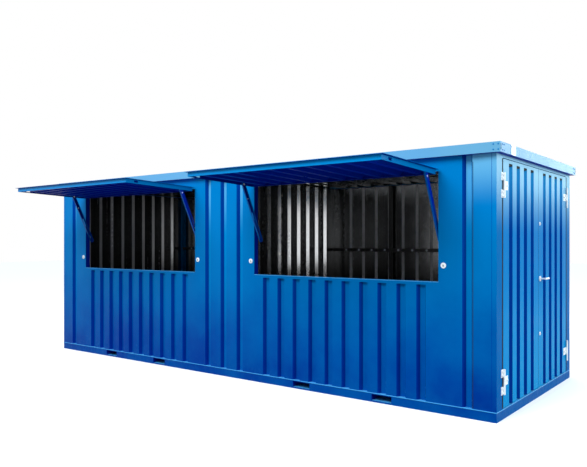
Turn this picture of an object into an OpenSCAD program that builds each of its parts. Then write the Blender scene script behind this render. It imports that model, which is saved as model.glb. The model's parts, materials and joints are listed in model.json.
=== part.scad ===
// Steel flat-pack container with two top-hung serving hatches and a double door in its right end.
// Origin: middle of the footprint on the ground. X runs along the building, the front faces -Y.

/* [Building] */
// Length over the end faces
length = 6000; // [5600:50:7000]
// Width over the front and back faces
width = 2200; // [2000:20:2600]
// Height of the roof edge above the ground
height = 2250; // [2200:10:2600]
// Thickness of the wall and roof sheets
sheet_t = 2; // [1:0.5:3]
// Wall thickness of the box sections
section_t = 3; // [2:0.5:5]
// Depth of the corner posts, jambs, sills and heads behind the outer face
frame_d = 60; // [50:5:80]

/* [Base] */
// Height of the base rails
base_h = 85; // [80:5:140]
// Depth of the base rails
base_d = 80; // [76:2:120]
// Clear width of a fork pocket
fork_w = 200; // [150:10:300]
// Clear height of a fork pocket
fork_h = 54; // [40:2:60]
// Distance between the two fork pockets of one half
fork_pitch = 900; // [700:50:1200]
// Thickness of the floor deck
floor_t = 21; // [15:1:30]
// Width of the cross beams under the deck
beam_w = 80; // [60:5:120]

/* [Corrugation] */
// Width of a groove at the outer face
groove_w = 88; // [70:2:100]
// Width of the bottom of a groove
groove_floor = 46; // [30:2:60]
// Depth of a groove
groove_d = 35; // [20:1:40]
// Distance between grooves
groove_pitch = 193; // [150:1:240]
// Plain strip left at both edges of a sheet
groove_edge = 140; // [100:5:180]
// Distance between the three grooves of the middle pier
pier_groove_pitch = 235; // [200:5:260]
// Distance from the end face to the groove in each end pier
end_groove_inset = 245; // [200:5:300]

/* [Serving openings] */
// Distance from the end face to the opening
opening_margin = 500; // [400:10:600]
// Width of the pier between the openings
pier_w = 880; // [700:10:1100]
// Height of the opening's lower edge
sill_z = 1115; // [900:5:1200]
// Height of the head section over the openings
head_h = 117; // [90:1:160]
// Height of the sill section
sill_h = 30; // [20:2:60]
// Width of the jambs
jamb_w = 30; // [25:1:50]

/* [Hatches] */
// Lap of the hatch skin over the wall
hatch_lip = 15; // [10:1:20]
// Gap between the hatch rails and the opening
hatch_gap = 10; // [8:1:15]
// Depth of the hatch rails
hatch_rail_d = 42; // [40:2:70]
// Thickness of the hatch rails
hatch_rail_t = 4; // [3:0.5:6]
// Width of the folded edge of the front and back hatch rails
hatch_fold = 25; // [15:1:40]
// Distance of the hinge axis in front of the wall
hinge_off = 9; // [8:0.5:14]
// Height of the hinge axis above the opening
hinge_rise = 14; // [12:1:20]
// Angle of the open hatch above level
hatch_lift = 2; // [0:0.5:6]
// Radius of the hatch hinge barrels
barrel_r = 5.5; // [4:0.5:5.5]
// Length of one hatch hinge barrel
barrel_l = 60; // [40:5:90]
// Distance of the outer hinge barrels from the edges of the opening
barrel_inset = 180; // [140:5:300]
// Height of the hinge plates on the head
hinge_leaf_h = 45; // [30:1:60]
// Length of the lock slot in each hatch side rail
hatch_slot_l = 50; // [30:2:80]
// Height of the lock slot
hatch_slot_h = 22; // [14:1:30]
// Outer radius of the pull hook under a hatch
hook_r = 22; // [15:1:30]
// Width of the pull hook's bar
hook_w = 9; // [6:0.5:12]

/* [Stays] */
// Distance of the stay's pivot from the hinge axis
stay_reach = 185; // [150:5:260]
// Depth of the stay's pivot below the hatch skin
stay_drop = 32; // [25:1:45]
// Length of the stay past its pin
stay_tail = 64; // [40:2:90]
// Width of the stay
stay_w = 42; // [30:1:50]
// Depth of the stay's channel
stay_t = 16; // [10:0.5:20]
// Thickness of the stay's sheet
stay_wall = 3; // [2:0.5:4]
// Gap between the hatch rail and the stay
stay_gap = 3; // [2:0.5:5]
// Radius of the bolt head at the stay's pivot
stay_bolt_r = 10; // [8:0.5:12]
// Distance of the stay pin below the opening's upper edge
pin_drop = 520; // [400:5:560]
// Radius of the stay pin
pin_r = 6; // [4:0.5:8]
// Gap around the pin in the stay's slot
pin_slack = 1; // [0.5:0.25:2]
// Gap between the end of the pin and the stay
pin_gap = 2; // [1:0.5:3]
// Radius of the pin's foot on the jamb
pin_foot_r = 8; // [7:0.25:9]

/* [Hatch locks] */
// Height of the hatch locks above the opening's lower edge
lock_rise = 139; // [100:1:200]
// Radius of a lock rose
lock_r = 24; // [15:1:25]
// Distance of a lock rose from the opening
lock_inset = 46; // [45:1:60]

/* [Doors] */
// Width of the corner posts beside the doors
door_post_w = 140; // [120:5:180]
// Width of the fold at a post's outer corner
post_fold = 40; // [25:1:45]
// Height of the door head
door_head_h = 26; // [20:2:60]
// Gap above and below a leaf
leaf_gap = 6; // [5:0.5:10]
// Gap between a leaf and its post
hinge_gap = 12; // [6:0.5:13]
// Gap where the two leaves meet
meeting_gap = 8; // [6:0.5:14]
// Depth of the leaf frame behind the skin
leaf_frame_d = 30; // [20:2:40]
// Width of the leaf frame
leaf_frame_w = 40; // [30:2:60]
// Height of the plain band over the grooves of a leaf
leaf_band = 28; // [20:2:60]

/* [Door hinges] */
// Distance of the hinge axis in front of the end face
door_axis_off = 12; // [11:0.5:16]
// Radius of the hinge knuckles
knuckle_r = 9; // [7:0.5:10]
// Radius of the hinge pins
hinge_pin_r = 5; // [3:0.5:6]
// Height of one fixed hinge lug
lug_h = 66; // [50:2:80]
// Gap between a lug and the strap
lug_gap = 2; // [1:0.5:4]
// Height of the strap between the lugs
strap_h = 72; // [50:2:90]
// Width of the strap on the leaf
strap_w = 105; // [80:5:140]
// Width of a lug on the post
lug_w = 46; // [35:1:60]
// Thickness of the hinge plates
hinge_plate_t = 4; // [3:0.5:6]
// Distance of the hinges from the top and the bottom of a leaf
hinge_inset = 218; // [170:2:400]

/* [Lever] */
// Height of the lever handle
lever_z = 1108; // [950:10:1200]
// Distance of the lever and the locks from the meeting edge
lever_inset = 34; // [30:1:60]
// Length of the lever
lever_l = 125; // [90:5:150]
// Distance of the lever from the leaf
lever_stand = 52; // [40:2:70]
// Radius of the lever's bar
lever_r = 9; // [7:0.5:12]
// Radius of the lever's neck
neck_r = 7; // [5:0.5:8]
// Thickness of the lever's rose
rose_t = 8; // [5:0.5:12]
// Radius of the lever's rose
rose_r = 24; // [18:1:30]
// Radius of a door lock
door_lock_r = 16; // [12:0.5:24]
// Distance of the two door locks above and below the lever
door_lock_pitch = 516; // [350:2:560]

/* [Roof] */
// Height of the fascia
fascia_h = 83; // [60:1:120]
// Thickness of the fascia
fascia_t = 3; // [2:0.5:4]
// Overhang of the roof past the walls
overhang = 48; // [30:2:80]
// Width of the top fold of the fascia
fascia_fold = 40; // [25:1:60]
// Width of the slots near the corners of the end fascias
fascia_slot_w = 14; // [8:1:20]
// Height of the slots
fascia_slot_h = 46; // [30:1:50]
// Width of the joint strap on the right end fascia
joint_strap_w = 110; // [60:5:180]
// Distance of the joint strap from the front corner of the roof
joint_strap_inset = 250; // [200:10:600]

/* [Inner bracing] */
// Height of the bracing rail on the back wall
brace_z = 1330; // [1200:10:1500]
// Size of the bracing rails and posts
brace_w = 40; // [30:2:60]
// Distance of the bracing post from the left wall of each bay
brace_post_inset = 830; // [600:10:1200]

/* [Hidden] */
$fn = 48;
seat = 0.3;
cut = 1;
blue = "#0a5fae";
zinc = "#d9dcdf";
galvanised = "#8b9094";
deck_brown = "#4a4038";

wall_d = groove_d + sheet_t;
wall_top = height - fascia_h;
deck_top = base_h + floor_t;
sleeve_t = section_t;
half = length / 2;
face = width / 2;
inner_face = face - frame_d;
inner_end = half - frame_d;
opening_x0 = pier_w / 2;
opening_x1 = half - opening_margin;
opening_w = opening_x1 - opening_x0;
opening_mid = (opening_x0 + opening_x1) / 2;
head_z = wall_top - head_h;
lock_z = sill_z + lock_rise;
sides = [-1, 1];

axis_y = -face - hinge_off;
axis_z = head_z + hinge_rise;
hatch_l = axis_z - sill_z + hatch_lip;
hatch_w = opening_w + 2 * hatch_lip;
rail_back = hinge_rise + hatch_gap;
rail_front = axis_z - sill_z - hatch_gap;
rail_x = opening_w / 2 - hatch_gap;
stay_x = rail_x - hatch_rail_t - stay_gap;
pin_y = axis_y + hatch_rail_d + 3 * pin_r;
pin_z = head_z - pin_drop;
// Stay pivot of the open hatch, and the tilt that points the stay at its pin
pivot_y = axis_y - stay_reach * cos(hatch_lift) - stay_drop * sin(hatch_lift);
pivot_z = axis_z + stay_reach * sin(hatch_lift) - stay_drop * cos(hatch_lift);
stay_tilt = atan2(pin_y - pivot_y, pivot_z - pin_z);
stay_l = norm([pin_y - pivot_y, pivot_z - pin_z]) + stay_tail;

door_opening = face - door_post_w;
leaf_w = door_opening - hinge_gap - meeting_gap / 2;
leaf_z0 = base_h + leaf_gap;
leaf_z1 = wall_top - door_head_h - leaf_gap;
door_axis_x = half + door_axis_off;
door_axis_y = door_opening - hinge_gap / 2;
web_y = knuckle_r - seat;
leaf_inner_x = half - wall_d - leaf_frame_d;
lever_y = meeting_gap / 2 + lever_inset;

// A block between two corners
module block(low, high) {
    translate(low) cube(high - low);
}

// A box section between two corners, along one axis (0, 1 or 2), with open or closed ends
module box_section(low, high, along, closed = false) {
    inset = [for (i = [0:2]) i == along && !closed ? -cut : section_t];
    difference() {
        block(low, high);
        block(low + inset, high - inset);
    }
}

// Even row of groove centres between two edges
function row(from, to) =
    let (n = floor((to - from - 2 * groove_edge) / groove_pitch) + 1)
    [for (i = [0:n - 1]) (from + to) / 2 + (i - (n - 1) / 2) * groove_pitch];

// One side of a corrugated sheet: corner points of the grooves at the given offset into the sheet
function groove_points(centres, t) =
    let (slope = atan2(groove_d, (groove_w - groove_floor) / 2), widen = t * tan(slope / 2))
    [for (c = centres) each [
        [c - groove_w / 2 - widen, t],
        [c - groove_floor / 2 - widen, groove_d + t],
        [c + groove_floor / 2 + widen, groove_d + t],
        [c + groove_w / 2 + widen, t]
    ]];

function reversed(points) = [for (i = [len(points) - 1:-1:0]) points[i]];

// Cross-section of a corrugated sheet from one edge to the other, grooves towards +Y
module sheet_section(from, to, centres) {
    polygon(concat(
        [[from, 0]], groove_points(centres, 0), [[to, 0], [to, sheet_t]],
        reversed(groove_points(centres, sheet_t)), [[from, sheet_t]]
    ));
}

// Upright corrugated sheet facing -Y, its outer face on Y = 0
module upright_sheet(from, to, z0, z1, centres) {
    translate([0, 0, z0]) linear_extrude(z1 - z0) sheet_section(from, to, centres);
}

// Base

module fork_places() {
    for (s = sides, k = sides) translate([s * half / 2 + k * fork_pitch / 2, 0, base_h / 2]) children();
}

module base_rail() {
    difference() {
        box_section([-half, -face, 0], [half, -face + base_d, base_h], 0, closed = true);
        fork_places()
            cube([fork_w + 2 * (sleeve_t + seat), 3 * width, fork_h + 2 * (sleeve_t + seat)], center = true);
    }
}

module base_front_rail() {
    color(blue) base_rail();
}

module base_back_rail() {
    color(blue) mirror([0, 1, 0]) base_rail();
}

module base_end_rails() {
    color(blue) for (s = sides) {
        x = s * (half - base_d / 2);
        box_section([x - base_d / 2, -face + base_d, 0], [x + base_d / 2, face - base_d, base_h], 1);
    }
}

module base_cross_beams() {
    color(galvanised) for (x = [-half / 2, 0, half / 2])
        box_section([x - beam_w / 2, -face + base_d, 0], [x + beam_w / 2, face - base_d, base_h], 1);
}

module fork_tunnels() {
    color(blue) fork_places() difference() {
        cube([fork_w + 2 * sleeve_t, width, fork_h + 2 * sleeve_t], center = true);
        cube([fork_w, width + 2 * cut, fork_h], center = true);
    }
}

module floor_deck() {
    color(deck_brown)
        block([-inner_end + seat, -inner_face + seat, base_h],
              [leaf_inner_x - leaf_gap, inner_face - seat, deck_top]);
}

// Posts and walls

// Front left post: a box section behind the sheets and a folded cover on its outer corner
module left_post() {
    box_section([sheet_t - half, sheet_t - face, base_h], [-inner_end, -inner_face, wall_top], 2);
    block([-half, -face, base_h], [post_fold - half, sheet_t - face, wall_top]);
    block([-half, -face, base_h], [sheet_t - half, post_fold - face, wall_top]);
}

// Front right post: flush with the door leaves, with a fold on the front
module right_post() {
    box_section([inner_end, sheet_t - face, base_h], [half, door_post_w - face, wall_top], 2);
    block([half - post_fold, -face, base_h], [half, sheet_t - face, wall_top]);
}

module corner_posts_left() {
    color(blue) {
        left_post();
        mirror([0, 1, 0]) left_post();
    }
}

module corner_posts_right() {
    color(blue) {
        right_post();
        mirror([0, 1, 0]) right_post();
    }
}

module end_pier() {
    translate([0, -face, 0])
        upright_sheet(opening_x1, half - post_fold, base_h, wall_top, [half - end_groove_inset]);
}

module front_pier_left() {
    color(blue) mirror([1, 0, 0]) end_pier();
}

module front_pier_right() {
    color(blue) end_pier();
}

module front_pier_middle() {
    grooves = [for (i = [-1:1]) i * pier_groove_pitch];
    color(blue) translate([0, -face, 0]) upright_sheet(-opening_x0, opening_x0, base_h, wall_top, grooves);
}

module front_panel() {
    translate([0, -face, 0])
        upright_sheet(opening_x0, opening_x1, base_h, sill_z - sill_h, row(opening_x0, opening_x1));
}

module front_panel_left() {
    color(blue) mirror([1, 0, 0]) front_panel();
}

module front_panel_right() {
    color(blue) front_panel();
}

module serving_jambs() {
    color(blue) for (s = sides, x = [opening_x0 - jamb_w / 2, opening_x1 + jamb_w / 2])
        box_section([s * x - jamb_w / 2, -face + sheet_t, base_h],
                    [s * x + jamb_w / 2, -inner_face, wall_top], 2);
}

module serving_sills() {
    color(blue) for (s = sides)
        box_section([s * opening_mid - opening_w / 2, -face, sill_z - sill_h],
                    [s * opening_mid + opening_w / 2, -inner_face, sill_z], 0);
}

module serving_heads() {
    color(blue) for (s = sides)
        box_section([s * opening_mid - opening_w / 2, -face, head_z],
                    [s * opening_mid + opening_w / 2, -inner_face, wall_top], 0);
}

module back_wall() {
    rotate([0, 0, 180]) translate([0, -face, 0])
        upright_sheet(post_fold - half, 0, base_h, wall_top, row(-inner_end, 0));
}

module back_wall_left() {
    color(blue) mirror([1, 0, 0]) back_wall();
}

module back_wall_right() {
    color(blue) back_wall();
}

module left_end_wall() {
    color(blue) rotate([0, 0, -90]) translate([0, -half, 0])
        upright_sheet(post_fold - face, face - post_fold, base_h, wall_top, row(-inner_face, inner_face));
}

module partition_wall() {
    back_y = face - sheet_t - seat;
    front_y = face - wall_d - seat;
    color(galvanised) rotate([0, 0, -90]) translate([0, -wall_d / 2, 0])
        upright_sheet(-back_y, front_y, deck_top, wall_top, row(-inner_face, inner_face));
}

// Rail from the left post or the inner wall to the end of its bay, and an upright on it
module bay_bracing(x0, x1) {
    y1 = face - wall_d;
    post_x = x0 + brace_post_inset;
    union() {
        block([x0 + seat, y1 - brace_w, brace_z], [x1 - seat, y1, brace_z + brace_w]);
        block([post_x, y1 - brace_w, deck_top], [post_x + brace_w, y1, wall_top]);
    }
}

module back_wall_bracing() {
    color(galvanised) {
        bay_bracing(-inner_end, -wall_d / 2);
        bay_bracing(wall_d / 2, inner_end);
    }
}

module door_head() {
    color(blue)
        box_section([inner_end, -door_opening, wall_top - door_head_h], [half, door_opening, wall_top], 1);
}

// Roof

module roof_sheet() {
    top = wall_top + fascia_t + wall_d;
    end = half + overhang - fascia_t - seat;
    side = face + overhang - fascia_t - seat;
    translate([0, side, top]) rotate([90, 0, 0]) linear_extrude(2 * side) mirror([0, 1])
        sheet_section(0, end, row(0, end));
}

module roof_sheet_left() {
    color(galvanised) mirror([1, 0, 0]) roof_sheet();
}

module roof_sheet_right() {
    color(galvanised) roof_sheet();
}

module fascia_section() {
    flange = overhang + frame_d;
    polygon([
        [0, 0], [flange, 0], [flange, fascia_t], [fascia_t, fascia_t], [fascia_t, fascia_h - fascia_t],
        [fascia_fold, fascia_h - fascia_t], [fascia_fold, fascia_h], [0, fascia_h]
    ]);
}

// One mitred run of fascia along X, on the -Y side
module fascia_run(run_half, side) {
    flange = overhang + frame_d;
    intersection() {
        translate([-run_half, -side, wall_top]) rotate([90, 0, 90])
            linear_extrude(2 * run_half) fascia_section();
        linear_extrude(2 * height) polygon([
            [-run_half, -side], [run_half, -side],
            [run_half - flange, flange - side], [flange - run_half, flange - side]
        ]);
    }
}

module roof_front_fascia() {
    color(blue) fascia_run(half + overhang, face + overhang);
}

module roof_back_fascia() {
    color(blue) mirror([0, 1, 0]) fascia_run(half + overhang, face + overhang);
}

// End fascia with a drain slot near each corner
module end_fascia() {
    slot = [fascia_slot_w, 4 * fascia_t, fascia_slot_h];
    slot_x = face + overhang - 2 * fascia_t - fascia_slot_w / 2;
    slot_z = wall_top + fascia_h / 2;
    difference() {
        fascia_run(face + overhang, half + overhang);
        for (s = sides) translate([s * slot_x, -half - overhang, slot_z]) cube(slot, center = true);
    }
}

module roof_right_fascia() {
    color(blue) rotate([0, 0, 90]) end_fascia();
}

module roof_left_fascia() {
    color(blue) rotate([0, 0, -90]) end_fascia();
}

module roof_joint_strap() {
    y0 = -face - overhang + joint_strap_inset;
    x0 = half + overhang;
    color(zinc) block([x0, y0, wall_top], [x0 + fascia_t, y0 + joint_strap_w, height]);
}

// Serving hatches, drawn level about their hinge axis and then lifted

module open_hatch(side) {
    translate([side * opening_mid, axis_y, axis_z]) rotate([-hatch_lift, 0, 0]) children();
}

function barrel_places(fixed) =
    [for (i = [-1:1]) i * (opening_w / 2 - barrel_inset) + (fixed ? -1 : 1) * (barrel_l / 2 + seat)];

module hatch_skin(side) {
    run0 = rail_back + hatch_rail_t + seat;
    run1 = rail_front - hatch_rail_t - seat;
    centres = row(-opening_w / 2, opening_w / 2);
    color(blue) open_hatch(side) {
        translate([0, -run0, sheet_t]) rotate([90, 0, 0]) linear_extrude(run1 - run0) mirror([0, 1])
            sheet_section(-hatch_w / 2, hatch_w / 2, centres);
        block([-hatch_w / 2, -run0, 0], [hatch_w / 2, -seat - barrel_r, sheet_t]);
        block([-hatch_w / 2, -hatch_l, 0], [hatch_w / 2, -run1, sheet_t]);
    }
}

module hatch_frame(side) {
    t = hatch_rail_t;
    slot_y = lock_z - axis_z;
    fold_x = rail_x - 2 * stay_w;
    color(blue) open_hatch(side) difference() {
        union() {
            difference() {
                block([-rail_x, -rail_front, -hatch_rail_d], [rail_x, -rail_back, 0]);
                block([t - rail_x, t - rail_front, -hatch_rail_d - cut],
                      [rail_x - t, -rail_back - t, cut]);
            }
            for (y = [-rail_back - hatch_fold, -rail_front])
                block([-fold_x, y, -hatch_rail_d], [fold_x, y + hatch_fold, t - hatch_rail_d]);
            for (x = barrel_places(false)) {
                translate([x, 0, 0]) rotate([0, 90, 0]) cylinder(r = barrel_r, h = barrel_l, center = true);
                block([x - barrel_l / 2, -rail_back, -section_t], [x + barrel_l / 2, 0, 0]);
            }
        }
        for (x = barrel_places(false)) translate([x, 0, 0]) rotate([0, 90, 0])
            cylinder(r = barrel_r / 2 + seat, h = 2 * barrel_l, center = true);
        translate([0, slot_y, -hatch_rail_d / 2])
            cube([2 * opening_w, hatch_slot_l, hatch_slot_h], center = true);
    }
}

// Open ring on a short shank, hanging under the flat of the skin that lies nearest to its middle
module pull_hook(side) {
    centres = row(-opening_w / 2, opening_w / 2);
    after = floor(len(centres) / 2);
    hook_x = (centres[after - 1] + centres[after]) / 2;
    hook_y = -(rail_back + rail_front) / 2;
    color(blue) open_hatch(side) translate([hook_x, hook_y, -2 * hook_r]) rotate([90, 0, 0])
        linear_extrude(hatch_rail_t, center = true) {
            difference() {
                circle(r = hook_r);
                circle(r = hook_r - hook_w);
                translate([-2 * hook_r, 0]) square(2 * hook_r);
            }
            translate([-hook_w / 2, hook_r - hook_w]) square([hook_w, hook_r + hook_w]);
        }
}

module hatch_left_skin() {
    hatch_skin(-1);
}

module hatch_right_skin() {
    hatch_skin(1);
}

module hatch_left_frame() {
    hatch_frame(-1);
}

module hatch_right_frame() {
    hatch_frame(1);
}

module hatch_left_hook() {
    pull_hook(-1);
}

module hatch_right_hook() {
    pull_hook(1);
}

module hatch_hinge_plates() {
    color(blue) for (s = sides, x = barrel_places(true)) translate([s * opening_mid + x, axis_y, axis_z]) {
        rotate([0, 90, 0]) cylinder(r = barrel_r, h = barrel_l, center = true);
        block([-barrel_l / 2, hinge_off - section_t, 0], [barrel_l / 2, hinge_off, hinge_leaf_h]);
        block([-barrel_l / 2, 0, 0], [barrel_l / 2, hinge_off, section_t]);
        translate([barrel_l / 2, 0, 0]) rotate([0, 90, 0])
            cylinder(r = barrel_r / 2, h = barrel_l + 2 * seat);
    }
}

// Bar with round ends, hanging from the origin
module round_bar(w) {
    translate([-stay_t / 2, -w / 2, -stay_l]) cube([stay_t, w, stay_l]);
    for (z = [0, -stay_l]) translate([0, 0, z]) rotate([0, 90, 0])
        cylinder(d = w, h = stay_t, center = true);
}

// Pressed channel with a slot in its lower half, open towards the middle of the hatch.
// It hangs on the hatch rail and leans to its jamb pin. hand is +1 at the right jamb.
module stay(side, hand) {
    slot_w = 2 * (pin_r + pin_slack);
    color(blue) translate([side * opening_mid + hand * (stay_x - stay_t / 2), pivot_y, pivot_z])
        rotate([stay_tilt, 0, 0]) {
            difference() {
                round_bar(stay_w);
                translate([-hand * stay_wall, 0, 0]) round_bar(stay_w - 2 * stay_wall);
                translate([-stay_t, -slot_w / 2, -stay_l]) cube([2 * stay_t, slot_w, stay_l / 2]);
            }
            rotate([0, hand * 90, 0]) translate([0, 0, stay_t / 2]) cylinder(r = pin_r, h = stay_gap - seat);
            rotate([0, -hand * 90, 0]) translate([0, 0, stay_wall - stay_t / 2])
                cylinder(r = stay_bolt_r, h = stay_t, $fn = 6);
        }
}

module stay_left_outer() {
    stay(-1, -1);
}

module stay_left_inner() {
    stay(-1, 1);
}

module stay_right_inner() {
    stay(1, -1);
}

module stay_right_outer() {
    stay(1, 1);
}

// Pin with a round foot on the side of each jamb, reaching towards the stay
module stay_pins() {
    color(blue) for (s = sides, hand = sides)
        translate([s * opening_mid + hand * opening_w / 2, pin_y, pin_z]) rotate([0, -hand * 90, 0]) {
            cylinder(r = pin_foot_r, h = section_t);
            cylinder(r = pin_r, h = hatch_gap + hatch_rail_t + stay_gap - pin_gap);
        }
}

module hatch_locks() {
    color(zinc) for (s = sides, hand = sides)
        translate([s * opening_mid + hand * (opening_w / 2 + lock_inset), -face, lock_z]) rotate([90, 0, 0])
            lock_rose(lock_r);
}

// Doors, drawn as the front leaf and mirrored for the back one

module leaf_skin() {
    y0 = -door_opening + hinge_gap;
    color(blue) rotate([0, 0, 90]) translate([0, -half, 0])
        upright_sheet(y0, y0 + leaf_w, leaf_z0, leaf_z1 - leaf_band, row(y0, y0 + leaf_w));
}

module leaf_frame() {
    y0 = -door_opening + hinge_gap;
    y1 = y0 + leaf_w;
    x1 = half - wall_d;
    mid = (leaf_z0 + leaf_z1) / 2;
    color(blue) union() {
        difference() {
            block([leaf_inner_x, y0, leaf_z0], [x1, y1, leaf_z1]);
            for (z = [leaf_z0 + leaf_frame_w, mid + leaf_frame_w / 2])
                block([leaf_inner_x - cut, y0 + leaf_frame_w, z],
                      [x1 + cut, y1 - leaf_frame_w, z + (leaf_z1 - leaf_z0 - 3 * leaf_frame_w) / 2]);
        }
        block([leaf_inner_x, y0, leaf_z1 - leaf_band], [half, y1, leaf_z1]);
    }
}

module hinge_heights() {
    for (z = [leaf_z0 + hinge_inset, leaf_z1 - hinge_inset])
        translate([door_axis_x, -door_axis_y, z]) children();
}

module leaf_straps() {
    color(zinc) hinge_heights() difference() {
        union() {
            cylinder(r = knuckle_r, h = strap_h, center = true);
            block([-door_axis_off, 0, -strap_h / 2], [hinge_plate_t - door_axis_off, strap_w, strap_h / 2]);
            block([-door_axis_off, hinge_gap / 2, -strap_h / 2], [0, web_y, strap_h / 2]);
        }
        cylinder(r = hinge_pin_r + seat, h = 2 * strap_h, center = true);
    }
}

module fixed_lugs() {
    color(zinc) hinge_heights() {
        cylinder(r = hinge_pin_r, h = strap_h + 2 * lug_gap, center = true);
        for (s = sides) translate([0, 0, s * (strap_h / 2 + lug_gap + lug_h / 2)]) {
            cylinder(r = knuckle_r, h = lug_h, center = true);
            block([-door_axis_off, -lug_w, -lug_h / 2],
                  [hinge_plate_t - door_axis_off, -hinge_gap / 2, lug_h / 2]);
            block([-door_axis_off, -web_y, -lug_h / 2], [0, -hinge_gap / 2, lug_h / 2]);
        }
    }
}

module door_front_skin() {
    leaf_skin();
}

module door_front_frame() {
    leaf_frame();
}

module door_front_straps() {
    leaf_straps();
}

module door_back_skin() {
    mirror([0, 1, 0]) leaf_skin();
}

module door_back_frame() {
    mirror([0, 1, 0]) leaf_frame();
}

module door_back_straps() {
    mirror([0, 1, 0]) leaf_straps();
}

module door_hinge_lugs() {
    fixed_lugs();
    mirror([0, 1, 0]) fixed_lugs();
}

// Round rose with a raised lock cylinder
module lock_rose(r) {
    cylinder(r = r, h = rose_t / 2);
    cylinder(r = r / 2, h = rose_t);
}

module door_locks() {
    color(zinc) translate([half, lever_y, lever_z]) rotate([0, 90, 0]) {
        for (s = sides) translate([s * door_lock_pitch, 0, 0]) lock_rose(door_lock_r);
        cylinder(r = rose_r, h = rose_t);
    }
}

// Bar of the lever with a domed end, along +Z
module lever_bar() {
    rotate_extrude() {
        square([lever_r, lever_l - lever_r]);
        translate([0, lever_l - lever_r]) intersection() {
            circle(r = lever_r);
            square(lever_r);
        }
    }
}

module lever_handle() {
    color(zinc) translate([half, lever_y, lever_z]) {
        translate([rose_t + seat, 0, 0]) rotate([0, 90, 0]) cylinder(r = neck_r, h = lever_stand - rose_t);
        translate([lever_stand, -lever_r, 0]) rotate([-90, 0, 0]) lever_bar();
    }
}

base_front_rail();
base_back_rail();
base_end_rails();
base_cross_beams();
fork_tunnels();
floor_deck();
corner_posts_left();
corner_posts_right();
front_pier_left();
front_pier_middle();
front_pier_right();
front_panel_left();
front_panel_right();
serving_jambs();
serving_sills();
serving_heads();
back_wall_left();
back_wall_right();
left_end_wall();
partition_wall();
back_wall_bracing();
door_head();
roof_sheet_left();
roof_sheet_right();
roof_front_fascia();
roof_back_fascia();
roof_left_fascia();
roof_right_fascia();
roof_joint_strap();
hatch_hinge_plates();
stay_pins();
hatch_locks();
hatch_left_skin();
hatch_left_frame();
hatch_left_hook();
hatch_right_skin();
hatch_right_frame();
hatch_right_hook();
stay_left_outer();
stay_left_inner();
stay_right_inner();
stay_right_outer();
door_front_skin();
door_front_frame();
door_front_straps();
door_back_skin();
door_back_frame();
door_back_straps();
door_hinge_lugs();
door_locks();
lever_handle();
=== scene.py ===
import json
import math

import bmesh
import bpy
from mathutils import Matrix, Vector


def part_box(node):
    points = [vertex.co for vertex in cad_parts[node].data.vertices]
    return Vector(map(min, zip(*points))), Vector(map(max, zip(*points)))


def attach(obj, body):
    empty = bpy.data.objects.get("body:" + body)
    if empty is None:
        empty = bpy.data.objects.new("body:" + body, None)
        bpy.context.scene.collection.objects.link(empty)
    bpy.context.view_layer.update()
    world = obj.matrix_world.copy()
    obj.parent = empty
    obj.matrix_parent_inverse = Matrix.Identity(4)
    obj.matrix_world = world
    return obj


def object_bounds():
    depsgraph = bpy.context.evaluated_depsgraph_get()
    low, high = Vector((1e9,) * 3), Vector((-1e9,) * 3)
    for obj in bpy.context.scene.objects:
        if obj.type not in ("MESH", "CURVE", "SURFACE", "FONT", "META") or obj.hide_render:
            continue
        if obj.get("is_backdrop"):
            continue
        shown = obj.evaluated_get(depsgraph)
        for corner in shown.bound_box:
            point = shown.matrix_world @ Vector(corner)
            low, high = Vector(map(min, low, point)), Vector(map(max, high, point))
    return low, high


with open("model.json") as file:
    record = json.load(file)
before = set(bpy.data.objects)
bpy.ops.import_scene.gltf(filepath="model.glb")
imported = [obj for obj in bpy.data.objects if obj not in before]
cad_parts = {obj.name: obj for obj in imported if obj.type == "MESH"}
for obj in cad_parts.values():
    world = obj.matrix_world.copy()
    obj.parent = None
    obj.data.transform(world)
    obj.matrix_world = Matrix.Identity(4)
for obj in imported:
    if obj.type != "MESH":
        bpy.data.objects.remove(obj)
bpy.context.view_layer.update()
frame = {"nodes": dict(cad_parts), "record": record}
nodes = frame["nodes"]

# Main sizes of the building, in metres
HALF_L, HALF_W = 3.0, 1.1
ROOF_EDGE, WALL_TOP = 2.250, 2.167
BASE_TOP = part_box("base_front_rail")[1].z
GROOVE_PITCH, GROOVE_HALF, SHEET_T = 0.193, 0.044, 0.002
END_GROOVE_INSET = 0.245
END_GROOVE_EDGE = HALF_L - END_GROOVE_INSET + GROOVE_HALF

# Joint places by name, the hatches as (name, side, hinge) and both sides of the door end as (name, side)
JOINTS = {joint["name"]: Vector(joint["pos_m"]) for joint in frame["record"]["behaviour"]["joints"]}
HATCHES = (("left", -1, JOINTS["hatch_left_hinge"]), ("right", 1, JOINTS["hatch_right_hinge"]))
BOTH_SIDES = (("front", -1), ("back", 1))
FRONT, BACK, LEFT, RIGHT, UP, DOWN = (0, -1, 0), (0, 1, 0), (-1, 0, 0), (1, 0, 0), (0, 0, 1), (0, 0, -1)


def seats(side):
    """The outer and the inner side of a hatch, as (hand, name)."""
    return (side, "outer"), (-side, "inner")


# Node helpers

def feed(tree, socket, value):
    """Links a socket to another one, or sets it to a plain value."""
    if isinstance(value, bpy.types.NodeSocket):
        tree.links.new(value, socket)
    else:
        socket.default_value = value


def place(tree, kind, inputs=None, **settings):
    """Adds one node, sets its options and feeds its inputs."""
    made = tree.nodes.new(kind)
    for key, value in settings.items():
        setattr(made, key, value)
    for key, value in (inputs or {}).items():
        feed(tree, made.inputs[key], value)
    return made


def calc(tree, operation, a, b=0.0, clamp=False):
    return place(tree, "ShaderNodeMath", {0: a, 1: b}, operation=operation, use_clamp=clamp).outputs[0]


def share(tree, mask, part):
    """A part of a mask."""
    return calc(tree, "MULTIPLY", mask, part)


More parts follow.
